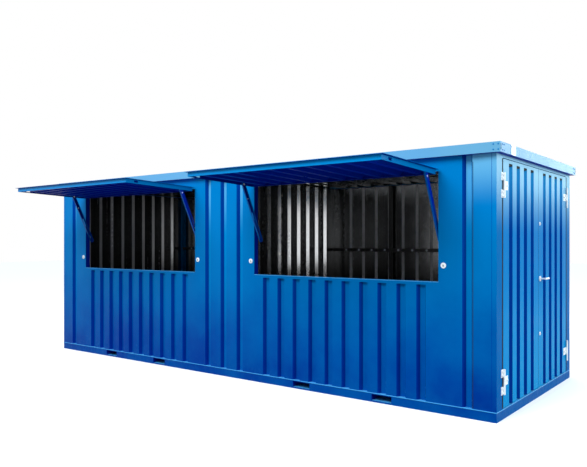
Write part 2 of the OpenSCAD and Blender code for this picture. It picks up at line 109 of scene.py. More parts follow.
def blend_colour(tree, factor, first, second):
    """Mixes two colours, each a socket or plain red, green and blue."""
    made = place(tree, "ShaderNodeMix", {0: factor}, data_type="RGBA")
    for socket, colour in ((made.inputs[6], first), (made.inputs[7], second)):
        feed(tree, socket, (*colour, 1.0) if isinstance(colour, tuple) else colour)
    return made.outputs[2]


def remap(tree, value, low, high, to_low=0.0, to_high=1.0, smooth=True):
    kind = "SMOOTHSTEP" if smooth else "LINEAR"
    return place(tree, "ShaderNodeMapRange",
                 {"Value": value, "From Min": low, "From Max": high, "To Min": to_low, "To Max": to_high},
                 interpolation_type=kind).outputs[0]


def noise(tree, vector, scale, detail, roughness=0.5):
    """A soft random pattern."""
    return place(tree, "ShaderNodeTexNoise", {"Vector": vector, "Scale": scale, "Detail": detail,
                                              "Roughness": roughness}).outputs


def stretch(tree, vector, scale):
    return place(tree, "ShaderNodeMapping", {"Vector": vector, "Scale": scale}).outputs[0]


def height_of(tree, vector):
    return place(tree, "ShaderNodeSeparateXYZ", {0: vector}).outputs["Z"]


def add_sockets(tree, inputs, outputs):
    """Gives a node group its named sockets; returns what comes in and what goes out."""
    for label, kind, value in inputs:
        socket = tree.interface.new_socket(name=label, in_out="INPUT", socket_type="NodeSocket" + kind)
        if value is not None:
            socket.default_value = value
    for label, kind in outputs:
        tree.interface.new_socket(name=label, in_out="OUTPUT", socket_type="NodeSocket" + kind)
    return tree.nodes.new("NodeGroupInput").outputs, tree.nodes.new("NodeGroupOutput").inputs


def shader_group(name, inputs, outputs):
    tree = bpy.data.node_groups.new(name, "ShaderNodeTree")
    return tree, *add_sockets(tree, inputs, outputs)


def use_group(tree, group, inputs):
    return place(tree, "ShaderNodeGroup", inputs, node_tree=group).outputs


# Shared surface effects

BUCKLE_SHARE = 0.45
CLOUD_RISE = 0.20                      # how far the mottle moves the painted low light up and down
LOW_LIGHT_FROM, LOW_LIGHT_TO = 0.15, 1.65       # heights between which the low tone, a painted shade near the ground (a painted floor reflection on the leaf paint), goes over to the main one
GLARE_START, GLARE_END = 1.5, 2.18         # heights between which a painted glare comes in at the top
DUST_HEIGHT = 0.34
CLOUD_RANGE, SPECK_RANGE, STREAK_RANGE = (0.30, 0.70), (0.42, 0.72), (0.56, 0.78)   # noise that counts
CRYSTAL_WARP, CRYSTAL_ROUGHNESS = 0.02, (0.17, 0.23)


def make_sheet_relief():
    """Height of rolled sheet under paint: slow dents, buckles along the sheet and a fine paint skin."""
    tree, given, out = shader_group(
        "sheet_relief",
        [("Vector", "Vector", None), ("Dent depth", "Float", 1.0), ("Peel depth", "Float", 1.0)],
        [("Height", "Float")])
    slow = noise(tree, given["Vector"], scale=1.4, detail=1.0, roughness=0.4)["Fac"]
    buckle = noise(tree, stretch(tree, given["Vector"], (3.2, 3.2, 0.7)), scale=1.6, detail=2.0)["Fac"]
    peel = noise(tree, given["Vector"], scale=260.0, detail=2.0)["Fac"]
    dents = calc(tree, "ADD", slow, share(tree, buckle, BUCKLE_SHARE))
    dents = share(tree, dents, given["Dent depth"])
    feed(tree, out["Height"], calc(tree, "ADD", dents, share(tree, peel, given["Peel depth"])))
    return tree


def make_wear_and_light_masks():
    """Masks of an outdoor sheet: mottle, painted light near the ground by height, a painted glare at the top, dust
    near the ground and rain streaks.
    """
    tree, given, out = shader_group(
        "wear_and_painted_light",
        [("Vector", "Vector", None), ("Cloud scale", "Float", 2.0), ("Painted glare start", "Float", GLARE_START)],
        [("Cloud", "Float"), ("Fade", "Float"), ("Top", "Float"), ("Dust", "Float"), ("Streak", "Float")])
    vector = given["Vector"]
    height = height_of(tree, vector)
    cloud = noise(tree, vector, scale=given["Cloud scale"], detail=4.0, roughness=0.6)["Fac"]
    feed(tree, out["Cloud"], remap(tree, cloud, *CLOUD_RANGE))
    shifted = calc(tree, "ADD", height, share(tree, cloud, CLOUD_RISE))
    # painted light near the ground: painted shade on most paints, a painted floor reflection on the leaf paint
    feed(tree, out["Fade"], remap(tree, shifted, LOW_LIGHT_FROM, LOW_LIGHT_TO))
    # painted glare towards the top
    feed(tree, out["Top"], remap(tree, height, given["Painted glare start"], GLARE_END))
    speck = noise(tree, vector, scale=24.0, detail=5.0, roughness=0.7)["Fac"]
    low = remap(tree, height, DUST_HEIGHT, 0.0)
    feed(tree, out["Dust"], share(tree, low, remap(tree, speck, *SPECK_RANGE)))
    run = noise(tree, stretch(tree, vector, (26.0, 26.0, 0.55)), scale=1.0, detail=3.0)["Fac"]
    feed(tree, out["Streak"], remap(tree, run, *STREAK_RANGE))
    return tree


def make_spangle():
    """Crystal pattern of hot-dip zinc: a random tone for each crystal, and a roughness that follows it."""
    tree, given, out = shader_group(
        "zinc_spangle", [("Vector", "Vector", None), ("Crystals per metre", "Float", 60.0)],
        [("Tone", "Float"), ("Roughness", "Float")])
    warp = noise(tree, given["Vector"], scale=30.0, detail=2.0)["Color"]
    moved = place(tree, "ShaderNodeVectorMath", {0: warp, 1: (CRYSTAL_WARP,) * 3}, operation="MULTIPLY")
    at = place(tree, "ShaderNodeVectorMath", {0: given["Vector"], 1: moved.outputs[0]}, operation="ADD")
    cells = place(tree, "ShaderNodeTexVoronoi",
                  {"Vector": at.outputs[0], "Scale": given["Crystals per metre"]}, feature="F1")
    tone = place(tree, "ShaderNodeSeparateColor", {0: cells.outputs["Color"]}).outputs[0]
    feed(tree, out["Tone"], tone)
    feed(tree, out["Roughness"], remap(tree, tone, 0.0, 1.0, *CRYSTAL_ROUGHNESS, smooth=False))
    return tree


RELIEF, WEAR_AND_LIGHT, SPANGLE = make_sheet_relief(), make_wear_and_light_masks(), make_spangle()


# Materials

RELIEF_DEPTH = 0.02
PAINT_CLOUDS, ZINC_CLOUDS, DECK_CLOUDS = 1.7, 3.0, 4.0
PAINT_PEEL, ZINC_PEEL = 0.004, 0.001
CLOUD_SHARE, STREAK_SHARE, DUST_SHARE = 0.25, 0.06, 0.05
DUST_TONE, DUST_ROUGHNESS = (0.03, 0.17, 0.34), 0.25
GLOSS_TINT = (0.0, 0.30, 1.0, 1.0)
DULL_SHARE, STREAK_ROUGHNESS = 0.35, 0.10
WIRE_SCALE, WIRE_DEPTH = 26.0, 0.0008
DECK_DARK, DECK_WORN, DECK_ROUGHNESS = (0.035, 0.026, 0.020), (0.060, 0.045, 0.034), (0.45, 0.65)


def start_material(name, **sockets):
    """A material with a Principled shader; constant values go on its own sockets."""
    material = bpy.data.materials.new(name)
    material.use_nodes = True
    tree = material.node_tree
    shader = tree.nodes["Principled BSDF"]
    for key, value in sockets.items():
        shader.inputs[key.replace("_", " ")].default_value = value
    return material, tree, shader


def on_piece(tree):
    """The place on a piece, from its Object coordinates."""
    return place(tree, "ShaderNodeTexCoord").outputs["Object"]


def add_bump(tree, shader, height, distance):
    bump = place(tree, "ShaderNodeBump", {"Height": height, "Distance": distance})
    feed(tree, shader.inputs["Normal"], bump.outputs["Normal"])


def add_relief(tree, shader, where, dents, peel):
    relief = use_group(tree, RELIEF, {"Vector": where, "Dent depth": dents, "Peel depth": peel})
    add_bump(tree, shader, relief["Height"], RELIEF_DEPTH)


def paint(name, main, low_light_and_streak_tone, faded, top=None, glare_start=GLARE_START, dents=1.0, rough=(0.17, 0.24), gloss=0.18):
    """Steel paint with a low tone near the ground that is painted shade (on the leaf paint a lighter painted floor
    reflection), faded in places, with dust, rain streaks and perhaps a painted glare at the top.
    """
    material, tree, shader = start_material(name, Specular_IOR_Level=gloss, Specular_Tint=GLOSS_TINT)
    where = on_piece(tree)
    wear_and_light = use_group(tree, WEAR_AND_LIGHT, {"Vector": where, "Cloud scale": PAINT_CLOUDS, "Painted glare start": glare_start})
    # the low tone near the ground is painted shade, and a painted floor reflection where it is lighter
    colour = blend_colour(tree, wear_and_light["Fade"], low_light_and_streak_tone, main)
    colour = blend_colour(tree, share(tree, wear_and_light["Cloud"], CLOUD_SHARE), colour, faded)
    # a painted glare at the top, where a top colour is given
    if top:
        colour = blend_colour(tree, wear_and_light["Top"], colour, top)
    colour = blend_colour(tree, share(tree, wear_and_light["Streak"], STREAK_SHARE), colour, low_light_and_streak_tone)
    colour = blend_colour(tree, share(tree, wear_and_light["Dust"], DUST_SHARE), colour, DUST_TONE)
    feed(tree, shader.inputs["Base Color"], colour)
    patchy = remap(tree, wear_and_light["Cloud"], 0.0, 1.0, *rough, smooth=False)
    feed(tree, shader.inputs["Roughness"],
         calc(tree, "ADD", patchy, share(tree, wear_and_light["Dust"], DUST_ROUGHNESS)))
    add_relief(tree, shader, where, dents, PAINT_PEEL)
    return material


def zinc_metal(name, light, dark, crystals, metallic=1.0, dents=0.5, rough=0.0, gloss=0.5):
    """Zinc-coated steel with its crystal pattern and cloudy dull patches; also plain dark rubber and slots."""
    material, tree, shader = start_material(name, Metallic=metallic, Specular_IOR_Level=gloss)
    where = on_piece(tree)
    grain = use_group(tree, SPANGLE, {"Vector": where, "Crystals per metre": crystals})
    wear_and_light = use_group(tree, WEAR_AND_LIGHT, {"Vector": where, "Cloud scale": ZINC_CLOUDS})
    colour = blend_colour(tree, grain["Tone"], dark, light)
    colour = blend_colour(tree, share(tree, wear_and_light["Cloud"], DULL_SHARE), colour, dark)
    feed(tree, shader.inputs["Base Color"], colour)
    streaky = calc(tree, "ADD", grain["Roughness"], share(tree, wear_and_light["Streak"], STREAK_ROUGHNESS))
    feed(tree, shader.inputs["Roughness"], calc(tree, "ADD", streaky, rough))
    add_relief(tree, shader, where, dents, ZINC_PEEL)
    return material


def deck_material():
    """Coated plywood with a pressed wire pattern and scuffs."""
    material, tree, shader = start_material("deck_coating", Specular_IOR_Level=0.4)
    where = on_piece(tree)
    wear_and_light = use_group(tree, WEAR_AND_LIGHT, {"Vector": where, "Cloud scale": DECK_CLOUDS})
    wires = [place(tree, "ShaderNodeTexWave", {"Vector": where, "Scale": WIRE_SCALE},
                   bands_direction=way).outputs["Fac"] for way in ("X", "Y")]
    colour = blend_colour(tree, wear_and_light["Cloud"], DECK_DARK, DECK_WORN)
    feed(tree, shader.inputs["Base Color"], colour)
    feed(tree, shader.inputs["Roughness"], remap(tree, wear_and_light["Streak"], 0.0, 1.0, *DECK_ROUGHNESS))
    add_bump(tree, shader, calc(tree, "MAXIMUM", *wires), WIRE_DEPTH)
    return material


WALL_MAIN, WALL_FADED, WALL_GLOSS = (0.0, 0.148, 0.42), (0.0, 0.172, 0.46), 0.05
# Wall paint; its second colour is the painted shade near the ground
BLUE = paint("blue_paint", WALL_MAIN, (0.0, 0.036, 0.25), WALL_FADED, gloss=WALL_GLOSS)
# Corner strip paint: a painted glare at the top and a darker painted shade near the ground
CORNER_GLARE = paint("corner_glare_paint", WALL_MAIN, (0.0, 0.022, 0.215), WALL_FADED, top=(0.10, 0.35, 0.58),
               glare_start=1.72, gloss=WALL_GLOSS)
# Darker paint for the groove slopes that look away from the light, a painted shade; the sheet joint beads take it as
# their own dark joint tone
GROOVE_SHADE_AND_JOINT = paint("groove_shade_and_joint_paint", (0.0, 0.046, 0.29), (0.0, 0.018, 0.23), (0.0, 0.055, 0.32), gloss=WALL_GLOSS)
# Lighter paint for the groove floors, a painted highlight, with a painted glare at the top
GROOVE_FLOOR_LIGHT = paint("groove_floor_light_paint", (0.0, 0.185, 0.47), (0.0, 0.060, 0.30), (0.0, 0.210, 0.51),
                     top=(0.07, 0.33, 0.60), gloss=WALL_GLOSS)
# Darker paint for the door groove slopes, a painted shade, with a painted glare at the top
DOOR_GROOVE_SHADE_AND_GLARE = paint("door_groove_shade_and_glare_paint", (0.0, 0.042, 0.27), (0.0, 0.030, 0.24), (0.0, 0.050, 0.30),
                    top=(0.02, 0.27, 0.60), gloss=0.006)
# Paint for the end faces of the door posts, head and frames, with a painted glare at the top
DOOR_GLARE = paint("door_glare_paint", (0.0, 0.122, 0.37), (0.0, 0.090, 0.33), (0.0, 0.140, 0.41),
             top=(0.25, 0.51, 0.71), gloss=0.004)
# Door leaf paint: a painted glare at the top and a lighter painted floor reflection near the ground
LEAF_GLARE = paint("leaf_glare_paint", (0.0, 0.160, 0.46), (0.0, 0.240, 0.56), (0.0, 0.190, 0.51),
             top=(0.25, 0.52, 0.73), dents=0.5, gloss=0.006)
RAIL_END = paint("rail_end_paint", (0.0, 0.110, 0.36), (0.0, 0.080, 0.31), (0.0, 0.130, 0.40),
                 rough=(0.45, 0.55), gloss=WALL_GLOSS)
# Lighter paint for the front faces of the hatch frames, the lit side painted lighter
HATCH_EDGE_LIT = paint("hatch_edge_lit_paint", (0.0, 0.185, 0.49), (0.0, 0.160, 0.46), (0.0, 0.205, 0.52), dents=0.2)
# Bright paint for rolled edges and the tops of the base rails and fork tunnels, a painted highlight
EDGE_GLINT = paint("edge_glint_paint", (0.06, 0.33, 0.68), (0.04, 0.28, 0.62), (0.08, 0.36, 0.72), dents=0.1)
# Dark paint for hatch undersides, jamb reveals, stays, hooks, fork tunnels and fascia undersides: painted shade
SHADE = paint("shade_paint", (0.0, 0.014, 0.26), (0.0, 0.010, 0.20), (0.0, 0.019, 0.30), dents=0.5,
              rough=(0.40, 0.50), gloss=WALL_GLOSS)
# Pale fascia paints stand for painted reflection and light: a lighter copy for most faces, a darker one for the faces
# that look to the door end
END_PALE_GLARE = paint("end_fascia_glare_paint", (0.060, 0.215, 0.46), (0.050, 0.19, 0.42), (0.075, 0.25, 0.50), dents=0.3,
                 rough=(0.24, 0.30), gloss=0.11)
PALE_GLARE = paint("fascia_glare_paint", (0.100, 0.295, 0.47), (0.090, 0.27, 0.44), (0.115, 0.32, 0.50), dents=0.3)
# Lighter paint for the flanges of the stays, the lit side painted lighter
STAY_EDGE_LIT = paint("stay_edge_lit_paint", (0.0, 0.085, 0.36), (0.0, 0.070, 0.32), (0.0, 0.100, 0.39), dents=0.1)

# Galvanised zinc inside the box, darkened as painted shade
INNER_SHADED = zinc_metal("galvanised_inside_shaded", (0.21, 0.213, 0.216), (0.17, 0.172, 0.174), 40.0, dents=0.05, rough=0.02)
# Bright zinc for inner rib slopes that face the openings: painted highlights
RIB_LIT = zinc_metal("galvanised_rib_lit", (0.86, 0.87, 0.88), (0.78, 0.79, 0.80), 40.0, metallic=0.9, dents=0.05,
                 rough=-0.02)
END_RIB_LIT = zinc_metal("end_wall_rib_lit", (0.92, 0.93, 0.94), (0.84, 0.85, 0.86), 40.0, metallic=0.1, dents=0.05,
                     rough=0.10)
LEFT_RIB_LIT = zinc_metal("left_wall_rib_lit", (0.95, 0.96, 0.97), (0.88, 0.89, 0.90), 40.0, metallic=0.5, dents=0.05)
BRACE = zinc_metal("bracing_metal", (0.035, 0.035, 0.037), (0.02, 0.02, 0.021), 60.0, metallic=0.3, dents=0.1,
                   rough=0.25)
ROOF = zinc_metal("galvanised_roof", (0.46, 0.47, 0.48), (0.33, 0.34, 0.35), 55.0, rough=0.2)
ZINC = zinc_metal("bright_zinc", (0.80, 0.86, 0.90), (0.70, 0.76, 0.80), 300.0, metallic=0.15, dents=0.05,
                  rough=0.15)
LOCK_SLOT = zinc_metal("lock_slot", (0.03, 0.03, 0.03), (0.015, 0.015, 0.015), 300.0, metallic=0.0, dents=0.0,
                       rough=0.4, gloss=0.1)
RUBBER = zinc_metal("seal_rubber", (0.014, 0.014, 0.015), (0.008, 0.008, 0.009), 400.0, metallic=0.0,
                    dents=0.0, rough=0.5, gloss=0.08)
DECK = deck_material()


# Finishes of the CAD nodes

STRAIGHT, MOSTLY, SLANTED, SLIGHTLY = 0.9, 0.7, 0.3, 0.05   # how much a face looks in a direction
GROOVE_SETBACK = 0.02
STAY_T, STAY_WALL, STAY_HEAD_R = 0.016, 0.003, 0.0105
WEB_SKIN = 0.0005


def looks(direction, limit=SLIGHTLY):
    """A rule for faces that look in a direction."""
    aim = Vector(direction)
    return lambda face: face.normal.dot(aim) > limit


def slopes(outward, across):
    """A rule for the groove slopes of a sheet that look outward and to one side."""
    return lambda face: looks(outward)(face) and looks(across, SLANTED)(face)


def inside_of(centre):
    """A rule for faces of a hatch frame that look down or towards the middle of the hatch."""
    def rule(face):
        away = face.center - centre
        return face.normal.z < -SLANTED or face.normal.x * away.x + face.normal.y * away.y < -SLIGHTLY
    return rule


def end_strip(face):
    """The smooth front strip between the end groove and the right corner."""
    return looks(FRONT, STRAIGHT)(face) and face.center.x > END_GROOVE_EDGE


def groove_floor(face):
    """The set-back floor of a groove in the front."""
    return looks(FRONT, STRAIGHT)(face) and face.center.y > GROOVE_SETBACK - HALF_W


def head_of(pivot, web_x, hand):
    """A rule for the bolt head of a stay: faces around its pivot, on the open side of the web."""
    def rule(face):
        off = face.center - pivot
        return (web_x - face.center.x) * hand > WEB_SKIN and math.hypot(off.y, off.z) < STAY_HEAD_R
    return rule


def finish(name, material, *others):
    """Gives a node its finish; each other finish goes to the faces that its rule picks."""
    mesh = nodes[name].data
    mesh.materials.clear()
    for choice in (material, *[other for other, rule in others]):
        mesh.materials.append(choice)
    indices = [0] * len(mesh.polygons)
    for face in mesh.polygons:
        for slot, (other, rule) in enumerate(others, start=1):
            if rule(face):
                indices[face.index] = slot
    mesh.polygons.foreach_set("material_index", indices)
    mesh.update()


# Walls and doors
# Groove slopes that look away from the light take a painted shade, groove floors and the end strip a painted
# highlight and glare, inner faces the shaded zinc
for name in ("front_pier_left", "front_pier_middle", "front_pier_right"):
    finish(name, BLUE, (GROOVE_SHADE_AND_JOINT, slopes(FRONT, RIGHT)), (CORNER_GLARE, end_strip), (GROOVE_FLOOR_LIGHT, groove_floor),
           (INNER_SHADED, looks(BACK)))
for name in ("front_panel_left", "front_panel_right"):
    finish(name, BLUE, (GROOVE_SHADE_AND_JOINT, slopes(FRONT, RIGHT)), (INNER_SHADED, looks(BACK)))
# Inner rib slopes of the back, left end and partition walls take a painted highlight
for name in ("back_wall_left", "back_wall_right"):
    finish(name, BLUE, (GROOVE_SHADE_AND_JOINT, slopes(BACK, LEFT)), (INNER_SHADED, looks(FRONT)), (END_RIB_LIT, slopes(FRONT, RIGHT)))
finish("left_end_wall", BLUE, (GROOVE_SHADE_AND_JOINT, slopes(LEFT, BACK)), (INNER_SHADED, looks(RIGHT)), (LEFT_RIB_LIT, slopes(RIGHT, FRONT)))
finish("partition_wall", INNER_SHADED, (RIB_LIT, looks(FRONT, SLANTED)))
# Door skins: painted glare at the top, painted floor reflection near the ground, painted shade on the groove slopes
for name in ("door_front_skin", "door_back_skin"):
    finish(name, LEAF_GLARE, (DOOR_GROOVE_SHADE_AND_GLARE, slopes(RIGHT, FRONT)), (ROOF, looks(LEFT)))
# End faces of the posts, head and frames take a painted glare at the top
for name in ("corner_posts_right", "door_head", "door_front_frame", "door_back_frame"):
    finish(name, BLUE, (CORNER_GLARE, end_strip), (DOOR_GLARE, looks(RIGHT, STRAIGHT)))
finish("serving_jambs", BLUE, (SHADE, looks(LEFT, STRAIGHT)), (SHADE, looks(RIGHT, STRAIGHT)))
for name in ("corner_posts_left", "serving_sills", "serving_heads", "hatch_hinge_plates", "stay_pins"):
    finish(name, BLUE)
finish("back_wall_bracing", BRACE)

# Base and roof
# The tops of the base rails and fork tunnels take a painted highlight
for name in ("base_front_rail", "base_back_rail", "base_end_rails"):
    finish(name, BLUE, (EDGE_GLINT, looks(UP, STRAIGHT)), (RAIL_END, looks(RIGHT, STRAIGHT)))
finish("fork_tunnels", SHADE, (EDGE_GLINT, looks(UP, STRAIGHT)))
finish("base_cross_beams", INNER_SHADED)
finish("floor_deck", DECK)
# Fascias carry a painted reflection and light, with painted shade underneath
for name in ("roof_front_fascia", "roof_back_fascia", "roof_left_fascia", "roof_right_fascia"):
    finish(name, PALE_GLARE, (END_PALE_GLARE, looks(RIGHT, STRAIGHT)), (SHADE, looks(DOWN)))
for name in ("roof_sheet_left", "roof_sheet_right"):
    finish(name, ROOF, (INNER_SHADED, looks(DOWN)))

# Hatches, with their stays as (body, hand, inner face of the web)
stay_pieces = []
for hatch, side, hinge in HATCHES:
    finish(f"hatch_{hatch}_skin", BLUE, (SHADE, looks(DOWN)))
    low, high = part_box(f"hatch_{hatch}_frame")
    # The front faces of the hatch frames are painted lighter as the lit side, the inner faces painted shade
    finish(f"hatch_{hatch}_frame", BLUE, (HATCH_EDGE_LIT, looks(FRONT, MOSTLY)), (SHADE, inside_of((low + high) / 2)))
    finish(f"hatch_{hatch}_hook", SHADE)
    for hand, seat in seats(side):
        body = f"stay_{hatch}_{seat}"
        pivot = JOINTS[body + "_pivot"]
        web_x = pivot.x + hand * (STAY_T / 2 - STAY_WALL)
        stay_pieces.append((body, hand, web_x))
        # Stay flanges are painted lighter as the lit side, the web painted shade
        finish(body, SHADE, (STAY_EDGE_LIT, looks(FRONT, SLANTED)), (ZINC, head_of(pivot, web_x, hand)))

# Zinc fittings
for name in ("roof_joint_strap", "hatch_locks", "door_hinge_lugs", "door_front_straps", "door_back_straps",
             "door_locks", "lever_handle"):
    finish(name, ZINC)


# Bolts and rivets

WASHER_SIDES, DOME_SIDES, DOME_RINGS, DOME_SHARE = 14, 10, 5, 0.86


def fastener_nodes():
    """Geometry nodes that set a washered, domed head on every point, standing along the point's facing."""
    tree = bpy.data.node_groups.new("fastener_heads", "GeometryNodeTree")
    given, out = add_sockets(
        tree,
        [("Points", "Geometry", None), ("Head radius", "Float", 0.01), ("Head height", "Float", 0.007),
         ("Head sides", "Int", 6), ("Washer radius", "Float", 0.013), ("Washer thickness", "Float", 0.002),
         ("Dome height", "Float", 0.002), ("Finish", "Material", None)],
        [("Heads", "Geometry")])
    head_h, washer_t = given["Head height"], given["Washer thickness"]

    def lifted(geometry, height, scale=None):
        offset = place(tree, "ShaderNodeCombineXYZ", {"Z": height}).outputs[0]
        inputs = {"Geometry": geometry, "Translation": offset}
        if scale:
            inputs["Scale"] = scale
        return place(tree, "GeometryNodeTransform", inputs).outputs[0]

    def cylinder(sides, radius, depth):
        return place(tree, "GeometryNodeMeshCylinder",
                     {"Vertices": sides, "Radius": radius, "Depth": depth}).outputs["Mesh"]

    washer = cylinder(WASHER_SIDES, given["Washer radius"], washer_t)
    head = cylinder(given["Head sides"], given["Head radius"], head_h)
    dome = place(tree, "GeometryNodeMeshUVSphere", {"Segments": DOME_SIDES, "Rings": DOME_RINGS, "Radius": 1.0})
    wide = share(tree, given["Head radius"], DOME_SHARE)
    dome_size = place(tree, "ShaderNodeCombineXYZ", {"X": wide, "Y": wide, "Z": given["Dome height"]}).outputs[0]
    top = calc(tree, "ADD", washer_t, head_h)
    middle = calc(tree, "ADD", washer_t, share(tree, head_h, 0.5))
    joined = place(tree, "GeometryNodeJoinGeometry")
    for part in (lifted(washer, share(tree, washer_t, 0.5)), lifted(head, middle),
                 lifted(dome.outputs["Mesh"], top, dome_size)):
        tree.links.new(part, joined.inputs[0])
    facing = place(tree, "GeometryNodeInputNamedAttribute", {"Name": "facing"}, data_type="FLOAT_VECTOR")
    turn = place(tree, "FunctionNodeAlignRotationToVector", {"Vector": facing.outputs[0]}, axis="Z")
    heads = place(tree, "GeometryNodeInstanceOnPoints",
                  {"Points": given["Points"], "Instance": joined.outputs[0], "Rotation": turn.outputs[0]})
    real = place(tree, "GeometryNodeRealizeInstances", {"Geometry": heads.outputs[0]})
    done = place(tree, "GeometryNodeSetMaterial", {"Geometry": real.outputs[0], "Material": given["Finish"]})
    feed(tree, out["Heads"], done.outputs[0])
    return tree


FASTENERS = fastener_nodes()
BOLT = {"Head radius": 0.0095, "Head height": 0.006, "Head sides": 6, "Washer radius": 0.013,
        "Washer thickness": 0.002, "Dome height": 0.0015}
LARGE_BOLT = {"Head radius": 0.013, "Head height": 0.009, "Head sides": 6, "Washer radius": 0.0145,
              "Washer thickness": 0.002, "Dome height": 0.002}
SMALL_BOLT = {"Head radius": 0.006, "Head height": 0.004, "Head sides": 6, "Washer radius": 0.0085,
              "Washer thickness": 0.001, "Dome height": 0.001}
RIVET = {"Head radius": 0.005, "Head height": 0.001, "Head sides": 12, "Washer radius": 0.0065,
         "Washer thickness": 0.0006, "Dome height": 0.0022}
FLAT_RIVET = {"Head radius": 0.0065, "Head height": 0.0006, "Head sides": 12, "Washer radius": 0.0080,
              "Washer thickness": 0.0004, "Dome height": 0.0008}


def show(thing):
    bpy.context.scene.collection.objects.link(thing)


def put_on(piece, body):
    """Lets a finished piece move with its body."""
    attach(piece, body)


def set_fasteners(name, body, points, sizes, material):
    """One mesh of fastener heads for a body, from (place, facing) pairs."""
    data = bpy.data.meshes.new(name)
    data.from_pydata([spot for spot, facing in points], [], [])
    attribute = data.attributes.new("facing", "FLOAT_VECTOR", "POINT")
    attribute.data.foreach_set("vector", [value for spot, facing in points for value in facing])
    piece = bpy.data.objects.new(name, data)
    show(piece)
    modifier = piece.modifiers.new("heads", "NODES")
    modifier.node_group = FASTENERS
    values = {**sizes, "Finish": material}
    for socket in FASTENERS.interface.items_tree:
        if socket.in_out == "INPUT" and socket.name in values:
            modifier[socket.identifier] = values[socket.name]
    evaluated = piece.evaluated_get(bpy.context.evaluated_depsgraph_get())
    piece.data = bpy.data.meshes.new_from_object(evaluated)
    piece.modifiers.clear()
    put_on(piece, body)


# Door hinges: bolts on each fixed lug and on each strap, as (out from the hinge line, up from the hinge's middle)
HINGE_Y = -JOINTS["door_front_hinge"].y
PLATE_T, STRAP_HALF_H, LUG_RISE, LUG_SPREAD, LUG_OUT = 0.004, 0.036, 0.071, 0.016, 0.026
PLATE_X = HALF_L + PLATE_T
strap_low, strap_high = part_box("door_front_straps")
HINGE_Z = (strap_low.z + STRAP_HALF_H, strap_high.z - STRAP_HALF_H)
LUG_BOLTS = [(LUG_OUT, rise + spread) for rise in (-LUG_RISE, LUG_RISE) for spread in (-LUG_SPREAD, LUG_SPREAD)]
STRAP_BOLTS = [(-0.038, -0.018), (-0.038, 0.018), (-0.082, 0.0)]


def hinge_spots(places, side):
    """Bolt places on the hinge plates of one door side, at both hinge heights."""
    return [((PLATE_X, side * (HINGE_Y + y), z + rise), RIGHT) for z in HINGE_Z for y, rise in places]


set_fasteners("hinge_lug_bolts", "root", hinge_spots(LUG_BOLTS, -1) + hinge_spots(LUG_BOLTS, 1), BOLT, ZINC)
for leaf, side in BOTH_SIDES:
    set_fasteners(f"{leaf}_strap_bolts", f"door_{leaf}", hinge_spots(STRAP_BOLTS, side), BOLT, ZINC)

# Bracing rail on the back wall: a bolt over every groove
GROOVES = 14
RAIL_Y, RAIL_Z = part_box("back_wall_bracing")[0].y, 1.350
rail_bolts = [((hinge.x + (i - (GROOVES - 1) / 2) * GROOVE_PITCH, RAIL_Y, RAIL_Z), FRONT)
              for hatch, side, hinge in HATCHES for i in range(GROOVES)]
set_fasteners("bracing_bolts", "root", rail_bolts, LARGE_BOLT, ZINC)

# Roof edge: rivets beside the mitred corners, at the middle joint and on the joint strap
FRONT_INSETS, END_INSETS, BESIDE_JOINT = (0.018, 0.058), (0.048, 0.088), 0.030
RIVET_INSET, STRAP_INSET = 0.020, 0.015
edge_low, edge_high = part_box("roof_front_fascia")
CORNER_X, CORNER_Y = edge_high.x, -edge_low.y
RIVET_Z = (WALL_TOP + RIVET_INSET, ROOF_EDGE - RIVET_INSET)
long_side = [CORNER_X - inset for inset in FRONT_INSETS] + [BESIDE_JOINT]
short_side = [CORNER_Y - inset for inset in END_INSETS]
fascia_rivets = []
for side in (-1, 1):
    for x in long_side + [-x for x in reversed(long_side)]:
        fascia_rivets += [((x, side * CORNER_Y, z), (0, side, 0)) for z in RIVET_Z]
    for y in short_side + [-y for y in reversed(short_side)]:
        fascia_rivets += [((side * CORNER_X, y, z), (side, 0, 0)) for z in RIVET_Z]
set_fasteners("fascia_rivets", "root", fascia_rivets, RIVET, BLUE)
joint_low, joint_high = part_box("roof_joint_strap")
strap_rivets = [((joint_high.x, y, z), RIGHT)
                for y in (joint_low.y + STRAP_INSET, joint_high.y - STRAP_INSET) for z in RIVET_Z]
set_fasteners("strap_rivets", "root", strap_rivets, RIVET, ZINC)

# Hatches: rivets that hold each skin to its rails, and a bolt and a flat rivet on the upper part of each stay
LIFT, ROW_REACH, ROW_RIVETS = math.radians(2.0), (0.045, 0.925), 11
OUT, ABOVE = Vector((0, -math.cos(LIFT), math.sin(LIFT))), Vector((0, -math.sin(LIFT), math.cos(LIFT)))
for hatch, side, hinge in HATCHES:
    rivets = [(hinge + Vector(((i - ROW_RIVETS // 2) * GROOVE_PITCH, 0, 0)) + OUT * reach + ABOVE * SHEET_T, ABOVE)
              for i in range(ROW_RIVETS) for reach in ROW_REACH]
    set_fasteners(f"hatch_{hatch}_rivets", f"hatch_{hatch}", rivets, RIVET, BLUE)
STAY_TILT, STAY_BOLT_AT, STAY_RIVET_AT = math.radians(25.82), 0.16, 0.045
STAY_DOWN = Vector((0, math.sin(STAY_TILT), -math.cos(STAY_TILT)))
for body, hand, web_x in stay_pieces:
    pivot = JOINTS[body + "_pivot"]
    spot = pivot + STAY_DOWN * STAY_BOLT_AT
    set_fasteners(body + "_bolt", body, [((web_x, spot.y, spot.z), (-hand, 0, 0))], SMALL_BOLT, ZINC)
    spot = pivot + STAY_DOWN * STAY_RIVET_AT
    outside = (web_x + hand * STAY_WALL, spot.y, spot.z)
    set_fasteners(body + "_rivet", body, [(outside, (hand, 0, 0))], FLAT_RIVET, ZINC)


# Keyholes

HOLE_R, HOLE_RISE, HOLE_STEPS, HOLE_START, HOLE_SWEEP = 0.0036, 0.002, 16, -55, 290
SLOT_HALF, SLOT_FOOT = 0.0032, -0.0085
KEYHOLE_LIFTS = (-0.0005, 0.0004)
DOOR_LOCK_R = 0.016


